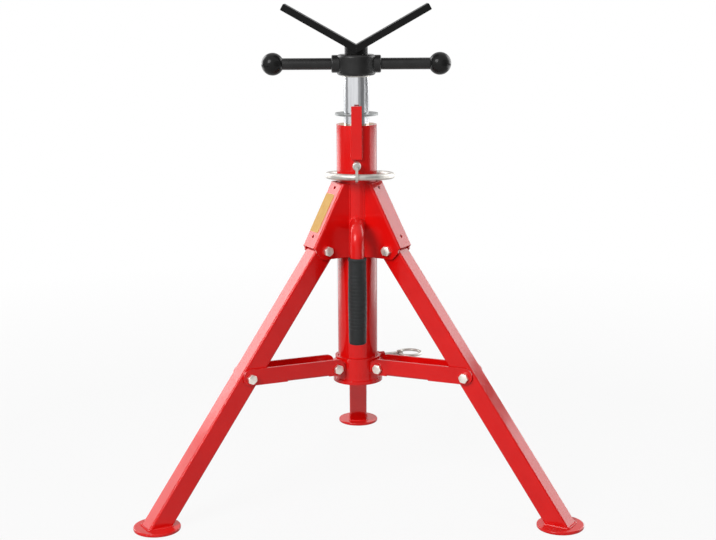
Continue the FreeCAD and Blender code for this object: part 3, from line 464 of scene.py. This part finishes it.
def finishMaterial(name):
    s = finishSet[name]
    material = bpy.data.materials.new(name)
    material.use_nodes = True
    tree = material.node_tree
    shader = tree.nodes["Principled BSDF"]
    low, high = s["rough"]
    cloud = placeGroup(tree, mottle, {"Scale": s["cloudScale"], "Stretch": s["stretch"]})
    sheenScale = s["cloudScale"] * surfaceSet["sheenScale"]
    sheenRange = {"Low": low, "High": high}
    sheen = placeGroup(tree, mottle, {"Scale": sheenScale, "Stretch": s["stretch"], **sheenRange})
    detail = surfaceSet["grainDetail"]
    grain = placeGroup(tree, mottle, {"Scale": s["grainScale"], "Stretch": s["stretch"], "Detail": detail})
    reach = s["wearAndHighlight"] * surfaceSet["wearAndHighlightReach"]
    width = s["round"] * surfaceSet["wearAndHighlightWidth"] * mm
    wornAndHighlit = placeGroup(tree, edgeWearAndHighlight, {"Radius": width, "Reach": reach})
    film = placeGroup(tree, settledDust, {"Amount": s["dust"]})
    soft = placeGroup(tree, roundEdge, {"Radius": s["round"] * mm})
    color = mixColor(tree, cloud, s["color"], s["second"])
    # edges take the edge colour: rubbed wear, and on the red enamel partly a painted highlight
    color = mixColor(tree, wornAndHighlit, color, s["edge"])
    color = mixColor(tree, film, color, surfaceSet["dustColor"])
    tree.links.new(color, shader.inputs["Base Color"])
    tree.links.new(sheen, shader.inputs["Roughness"])
    bump = tree.nodes.new("ShaderNodeBump")
    bump.inputs["Strength"].default_value = s["grain"]
    bump.inputs["Distance"].default_value = surfaceSet["grainHeight"]
    tree.links.new(grain, bump.inputs["Height"])
    tree.links.new(soft, bump.inputs["Normal"])
    tree.links.new(bump.outputs["Normal"], shader.inputs["Normal"])
    shader.inputs["Metallic"].default_value = s["metallic"]
    shader.inputs["Specular IOR Level"].default_value = s["gloss"]
    shader.inputs["Coat Weight"].default_value = s["coat"]
    shader.inputs["Coat Roughness"].default_value = s["coatRough"]
    return material


finishes = {name: finishMaterial(name) for name in finishSet}
slotFinish = {
    "red_paint": "redEnamel",
    "plated_steel": "platedTube",
    "zinc_steel": "zincSteel",
    "black_coat": "blackCoat",
    "black_knob": "blackKnob",
    "screw_steel": "screwSteel",
    "bush_bronze": "bushBronze",
    "grip_rubber": "gripRubber",
    "dull_steel": "dullSheet",
    "yellow_film": "yellowPatch",
}
# The handle nut shines a little more than the V-head, which has the same slot; its lighter colour is painted
# light, a lit copy of the black coat standing in for the highlight on the nut
nodeFinish = {"nut_hub": "litNutCoat", "handle_arm_left": "litNutCoat", "handle_arm_right": "litNutCoat"}


def dressNodes():
    for row in frame["record"]["subparts"]:
        item = nodes[row["node"]]
        item.data.materials.clear()
        finish = nodeFinish.get(row["node"], slotFinish[row["material_slot"]])
        item.data.materials.append(finishes[finish])
    print("CAD nodes dressed")


# Mesh building
meshSet = {
    "sharp": 35.0, "point": 1e-7,
    "sideways": Vector((0.31, 0.17, 0.93)),  # a direction that no weld runs along
}


def finishPiece(name, bm, finish, body, replaced=(), sharp=meshSet["sharp"]):
    bmesh.ops.recalc_face_normals(bm, faces=bm.faces)
    mesh = bpy.data.meshes.new(name)
    bm.to_mesh(mesh)
    bm.free()
    for face in mesh.polygons:
        face.use_smooth = True
    mesh.set_sharp_from_angle(angle=math.radians(sharp))
    mesh.materials.append(finishes[finish])
    item = bpy.data.objects.new(name, mesh)
    scene.collection.objects.link(item)
    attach(item, body)
    if replaced:
        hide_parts(*replaced)


def addRing(bm, points):
    return [bm.verts.new(point) for point in points]


def joinRings(bm, low, high):
    # faces between two rings; a ring of one point closes to that point
    count = max(len(low), len(high))
    for step in range(count):
        after = (step + 1) % count
        if len(low) == 1:
            bm.faces.new((low[0], high[after], high[step]))
        elif len(high) == 1:
            bm.faces.new((low[step], low[after], high[0]))
        else:
            bm.faces.new((low[step], low[after], high[after], high[step]))


def aroundAxis(place, radius, height, segments):
    # a ring of points about local z; radius may be a number or a rule of the angle
    points = []
    for step in range(segments):
        angle = 2 * math.pi * step / segments
        here = radius(angle) if callable(radius) else radius
        points.append(place @ Vector((here * math.cos(angle), here * math.sin(angle), height)))
    return points


def addTurned(bm, profile, place, segments, reach=None):
    # turns (radius, height) points round the local z axis; reach may bend the radius with the angle
    rings = []
    for radius, height in profile:
        if radius < meshSet["point"]:
            rings.append(addRing(bm, [place @ Vector((0, 0, height))]))
        else:
            rule = (lambda angle, widest=radius: reach(angle, widest)) if reach else radius
            rings.append(addRing(bm, aroundAxis(place, rule, height, segments)))
    for low, high in zip(rings, rings[1:]):
        joinRings(bm, low, high)


def tubeAlong(bm, points, radius, closed, sides, ripple):
    # a bead along the points; ripple is a rule of the way travelled that sets its size
    count = len(points)
    turns = [2 * math.pi * step / sides for step in range(sides)]
    rings = []
    travelled = 0.0
    for i, here in enumerate(points):
        before = points[i - 1] if (i or closed) else here
        after = points[(i + 1) % count] if (i + 1 < count or closed) else here
        along = (after - before).normalized()
        side = along.cross(meshSet["sideways"]).normalized()
        up = side.cross(along)
        if i:
            travelled += (here - points[i - 1]).length
        size = radius * ripple(travelled)
        outward = [side * math.cos(turn) + up * math.sin(turn) for turn in turns]
        rings.append(addRing(bm, [here + way * size for way in outward]))
    for low, high in zip(rings, rings[1:]):
        joinRings(bm, low, high)
    if closed:
        joinRings(bm, rings[-1], rings[0])
    else:
        bm.faces.new(rings[0])
        bm.faces.new(list(reversed(rings[-1])))


def evenPoints(corners, spacing, closed):
    path = list(corners) + ([corners[0]] if closed else [])
    out = []
    for here, there in zip(path, path[1:]):
        steps = max(1, round((there - here).length / spacing))
        out += [here.lerp(there, step / steps) for step in range(steps)]
    if not closed:
        out.append(path[-1])
    return out


# Bolts and nuts: chamfered hexagons with a washer face, and thread on what stands out
boltSet = {
    "flat": 6.5 * mm, "headHeight": 5.5 * mm, "nutHeight": 6.5 * mm, "tail": 2.0 * mm,
    "shank": 3.95 * mm, "washerFace": 0.35 * mm, "washerShare": 0.95, "flange": 3.0 * mm,
    "slack": 0.3 * mm, "chamferSlope": 30.0, "chamferShare": 0.97, "chamferSteps": 5,
    "segments": 48, "rodSegments": 24,
    "turn": {"left": 8.0, "right": 25.0, "rear": 41.0},  # no two hexagons stand alike
}
boltThread = {
    "radius": 3.95 * mm, "depth": 0.55 * mm, "pitch": 1.25 * mm, "steps": 24, "chamfer": 0.6 * mm,
}
threadForm = {"rowsPerTurn": 8, "leastRows": 4, "steepness": 1.9, "rootShare": 0.45}


def hexReach(angle, radius):
    # the hexagon's own radius at this angle, but never more than the ring asks for
    sector = (angle + math.pi / 6) % (math.pi / 3) - math.pi / 6
    return min(radius, boltSet["flat"] / math.cos(sector))


def addHexagon(bm, place, height, bothEnds):
    flat = boltSet["flat"]
    corner = flat / math.cos(math.pi / 6)
    slope = math.tan(math.radians(boltSet["chamferSlope"]))
    inner = flat * boltSet["chamferShare"]
    steps = boltSet["chamferSteps"]
    chamfer = [inner + (corner - inner) * i / steps for i in range(steps + 1)]
    rise = [(radius - inner) * slope for radius in chamfer]
    face = boltSet["washerFace"]
    washer = flat * boltSet["washerShare"]
    profile = [(0.0, 0.0), (washer, 0.0), (washer, face)]
    if bothEnds:
        profile += [(radius, face + up) for radius, up in zip(chamfer, rise)]
    else:
        profile += [(corner, face)]
    profile += [(radius, height - up) for radius, up in zip(reversed(chamfer), reversed(rise))]
    profile += [(0.0, height)]
    addTurned(bm, profile, place, boltSet["segments"], hexReach)


def addThread(bm, place, length, cut, bore=None):
    # a closed rod with one right-hand groove; bore is the radius and depth of a hole in its far end
    rows = max(threadForm["leastRows"], int(length / cut["pitch"] * threadForm["rowsPerTurn"]))
    rings = []
    for row in range(rows + 1):
        height = length * row / rows
        fade = min(1.0, min(height, length - height) / cut["chamfer"])
        widest = cut["radius"] - cut["chamfer"] * (1 - fade)

        def groove(angle):
            wave = abs(((height / cut["pitch"] - angle / (2 * math.pi)) % 1.0) * 2 - 1)
            crest = min(1.0, max(0.0, wave * threadForm["steepness"] - threadForm["rootShare"]))
            return min(widest, cut["radius"] - cut["depth"] * (1 - crest))

        rings.append(addRing(bm, aroundAxis(place, groove, height, cut["steps"])))
    rings.insert(0, addRing(bm, [place @ Vector((0, 0, 0))]))
    floor = length
    if bore:
        floor = length - bore[1]
        rings.append(addRing(bm, aroundAxis(place, bore[0], length, cut["steps"])))
        rings.append(addRing(bm, aroundAxis(place, bore[0], floor, cut["steps"])))
    rings.append(addRing(bm, [place @ Vector((0, 0, floor))]))
    for low, high in zip(rings, rings[1:]):
        joinRings(bm, low, high)


def acrossLeg(name, reach, height):
    # local z runs across the leg, towards the side that shows the bolt head
    turn = Matrix.Rotation(math.radians(-90.0 * headSide[name]), 4, "X")
    spin = Matrix.Rotation(math.radians(boltSet["turn"][name]), 4, "Z")
    return legFrame(name) @ Matrix.Translation((reach, 0, height)) @ turn @ spin


def addRod(bm, place, radius, start, end):
    profile = [(0.0, 0.0), (radius, 0.0), (radius, end - start), (0.0, end - start)]
    addTurned(bm, profile, place @ Matrix.Translation((0, 0, start)), boltSet["rodSegments"])


def otherSide(place, away):
    return place @ Matrix.Translation((0, 0, -away)) @ Matrix.Rotation(math.pi, 4, "X")


def addHead(bm, place, half):
    addHexagon(bm, place @ Matrix.Translation((0, 0, half)), boltSet["headHeight"], False)


def addNut(bm, place, half):
    addHexagon(bm, otherSide(place, half), boltSet["nutHeight"], True)


def addTail(bm, place, half):
    addThread(bm, otherSide(place, half + boltSet["nutHeight"]), boltSet["tail"], boltThread)


def makeThroughBolts(prefix, jointPrefix, half, body):
    bolts = bmesh.new()
    nuts = bmesh.new()
    for name in legNames:
        place = joints[jointPrefix + name]["pos_m"]
        across = acrossLeg(name, reachOf(place), place[2])
        addHead(bolts, across, half)
        addRod(bolts, across, boltSet["shank"], -half, half)
        addTail(bolts, across, half)
        addNut(nuts, across, half)
    finishPiece(prefix + "BoltSet", bolts, "boltZinc", body, (prefix + "_bolts",))
    finishPiece(prefix + "NutSet", nuts, "boltZinc", body, (prefix + "_nuts",))


def makeLinkBolts(name, outer):
    low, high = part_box("link_bolts_rear")
    inner = outer - boltSet["flange"]
    across = acrossLeg(name, (low.y + high.y) / 2, (low.z + high.z) / 2)
    bm = bmesh.new()
    addHead(bm, across, outer)
    addRod(bm, across, boltSet["shank"], inner, outer)
    addNut(bm, across, outer)
    addRod(bm, across, boltSet["shank"], -outer, -inner)
    addTail(bm, across, outer)
    replaced = ("link_bolts_" + name,)
    finishPiece("linkBoltSet_" + name, bm, "boltZinc", "link_" + name, replaced)


def makeBolts():
    linkOuter = halfWidth("link_channel_rear")
    makeThroughBolts("leg_pivot", "leg_fold_", halfWidth("leg_bracket_rear"), "column")
    makeThroughBolts("collar", "link_swing_", linkOuter + boltSet["slack"], "collar")
    for name in legNames:
        makeLinkBolts(name, linkOuter)
    print("bolts made")


# Lifting screw with its real thread, and the socket in its top
screwSet = {"pitch": 8.0 * mm, "depth": 2.2 * mm, "chamfer": 1.5 * mm, "steps": 64}
socketSet = {"radius": 8.05 * mm, "depth": 42.0 * mm}


def makeScrew():
    low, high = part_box("screw_rod")
    cut = {"radius": halfWidth("screw_rod"), **screwSet}
    bm = bmesh.new()
    bore = (socketSet["radius"], socketSet["depth"])
    addThread(bm, Matrix.Translation((0, 0, low.z)), high.z - low.z, cut, bore)
    finishPiece("liftScrew", bm, "screwSteel", "screw", ("screw_rod",))
    print("lifting screw made")


# Rubber grip, pulled over the end of the handle bar
gripSet = {
    "bulge": 0.9 * mm, "lip": 0.8 * mm, "lipHeight": 5.0 * mm, "wall": 2.6 * mm,
    "inset": 0.7 * mm, "shoulder": 6.0 * mm, "ribs": 22, "ribDepth": 0.35 * mm, "ribSharpness": 6,
    "plainShare": 0.12, "steps": 220, "segments": 64, "lipSoft": 1.2 * mm, "boreSlack": 0.2 * mm,
    "endRound": ((0.72, 0.0), (0.86, 0.6 * mm)), "endHeight": 2.6 * mm, "sharp": 50.0,
}


def makeGrip():
    low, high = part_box("handle_grip")
    radius = (high.x - low.x) / 2
    centre = (low + high) / 2
    bottom = low.z
    start = bottom + gripSet["shoulder"]
    length = high.z - gripSet["lipHeight"] - start
    side = radius - gripSet["inset"]
    wall = [(0.0, bottom)] + [(radius * share, bottom + up) for share, up in gripSet["endRound"]]
    wall.append((side, bottom + gripSet["endHeight"]))
    for step in range(gripSet["steps"] + 1):
        share = step / gripSet["steps"]
        swell = gripSet["bulge"] * math.sin(math.pi * share)
        ribbed = gripSet["plainShare"] < share < 1 - gripSet["plainShare"]
        groove = 0.5 - 0.5 * math.cos(2 * math.pi * gripSet["ribs"] * share)
        cutIn = gripSet["ribDepth"] * groove ** gripSet["ribSharpness"] if ribbed else 0.0
        wall.append((side + swell - cutIn, start + length * share))
    lip = side + gripSet["lip"]
    bore = radius - gripSet["wall"]
    soft = gripSet["lipSoft"]
    wall += [(lip, high.z - gripSet["lipHeight"] + soft), (lip, high.z - soft), (lip - soft, high.z)]
    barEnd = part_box("handle_bar")[0].z - gripSet["boreSlack"]
    wall += [(bore, high.z), (bore, barEnd), (0.0, barEnd)]
    bm = bmesh.new()
    addTurned(bm, wall, Matrix.Translation((centre.x, centre.y, 0)), gripSet["segments"])
    replaced = ("handle_grip",)
    finishPiece("rubberGrip", bm, "gripRubber", "column", replaced, gripSet["sharp"])
    print("grip made")


# Weld beads, laid along the seams of the painted pieces
weldSet = {
    "size": 1.9 * mm, "sides": 10, "spacing": 0.55 * mm, "ripple": 2.4 * mm, "depth": 0.2,
    "endGap": 2.0 * mm, "bracketShare": 0.7, "postShare": 0.8, "handleShare": 1.0, "footShare": 1.15,
    "lugShare": 0.8, "bossShare": 0.7, "handleSteps": 40, "handleProud": 0.4 * mm, "footCorner": 2.0 * mm,
}


def weldRipple(travelled):
    wave = (travelled / weldSet["ripple"]) % 1.0
    return 1.0 - weldSet["depth"] * wave


def addWeld(bm, corners, share, closed=False):
    points = evenPoints(corners, weldSet["spacing"], closed)
    tubeAlong(bm, points, weldSet["size"] * weldSet[share], closed, weldSet["sides"], weldRipple)


def onCylinder(radius, angle, height):
    return Vector((radius * math.cos(angle), radius * math.sin(angle), height))


def columnWelds():
    radius = halfWidth("column_tube")
    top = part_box("column_tube")[1].z
    gap = weldSet["endGap"]
    bm = bmesh.new()
    sheetLow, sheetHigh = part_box("leg_bracket_rear")
    for name in legNames:
        for side in (-1, 1):
            angle = legAngle(name) + side * math.asin(halfWidth("leg_bracket_rear") / radius)
            ends = (sheetLow.z + gap, sheetHigh.z - gap)
            addWeld(bm, [onCylinder(radius, angle, height) for height in ends], "bracketShare")
    postLow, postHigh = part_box("plate_post")
    for x in (postLow.x, postHigh.x):
        y = -math.sqrt(radius**2 - x**2)
        addWeld(bm, [Vector((x, y, postLow.z + gap)), Vector((x, y, top - gap))], "postShare")
    bar = halfWidth("handle_bar")
    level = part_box("handle_bar")[1].z - bar
    around = []
    for step in range(weldSet["handleSteps"]):
        turn = 2 * math.pi * step / weldSet["handleSteps"]
        x = bar * math.cos(turn)
        y = -math.sqrt(radius**2 - x**2) - weldSet["handleProud"]
        around.append(Vector((x, y, level + bar * math.sin(turn))))
    addWeld(bm, around, "handleShare", closed=True)
    finishPiece("columnWelds", bm, "redEnamel", "column")


def footWelds(name):
    low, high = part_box("foot_disc_rear")
    reach = (low.y + high.y) / 2
    pivot = joints["leg_fold_" + name]["pos_m"]
    half = halfWidth("leg_tube_rear")
    lean = math.atan2(reach - reachOf(pivot), pivot[2] - high.z)
    longHalf = half / math.cos(lean)
    soft = weldSet["footCorner"]
    corners = []
    for x, y in ((-1, -1), (1, -1), (1, 1), (-1, 1)):
        first = Vector((reach + x * longHalf, y * (half - soft), high.z))
        second = Vector((reach + x * (longHalf - soft), y * half, high.z))
        corners += [first, second] if x * y > 0 else [second, first]
    bm = bmesh.new()
    addWeld(bm, [legFrame(name) @ corner for corner in corners], "footShare", closed=True)
    finishPiece("footWeld_" + name, bm, "redEnamel", "leg_" + name)


lugSet = {
    "round": 7.0 * mm, "bossRadius": 6.5 * mm, "rim": 3.0 * mm, "steps": 12, "bossSteps": 36,
    "underTop": 0.3 * mm,
}


def collarWelds():
    bm = bmesh.new()
    radius = halfWidth("collar_sleeve") - lugSet["rim"]
    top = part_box("collar_sleeve")[1].z
    lugHalf = halfWidth("link_channel_rear") - boltSet["flange"] - boltSet["slack"]
    spread = math.asin(lugHalf / radius)
    for name in legNames:
        level = joints["link_swing_" + name]["pos_m"][2]
        loop = []
        for direction in (1, -1):
            for step in range(lugSet["steps"] + 1):
                turn = legAngle(name) + direction * spread * (2 * step / lugSet["steps"] - 1)
                loop.append(onCylinder(radius, turn, level + direction * lugSet["round"]))
        addWeld(bm, loop, "lugShare", closed=True)
    pinPlace = joints["collar_ring_swing"]["pos_m"]
    pinAngle = math.atan2(pinPlace[1], pinPlace[0])
    ringed = []
    for step in range(lugSet["bossSteps"]):
        turn = 2 * math.pi * step / lugSet["bossSteps"]
        aside = lugSet["bossRadius"] * math.cos(turn)
        height = min(pinPlace[2] + lugSet["bossRadius"] * math.sin(turn), top - lugSet["underTop"])
        ringed.append(onCylinder(radius, pinAngle + math.asin(aside / radius), height))
    addWeld(bm, ringed, "bossShare", closed=True)
    finishPiece("collarWelds", bm, "redEnamel", "collar")


def makeWelds():
    columnWelds()
    for name in legNames:
        footWelds(name)
    collarWelds()
    print("welds laid")


placeCamera()
buildStudio()
dressNodes()
makeBolts()
makeScrew()
makeGrip()
makeWelds()
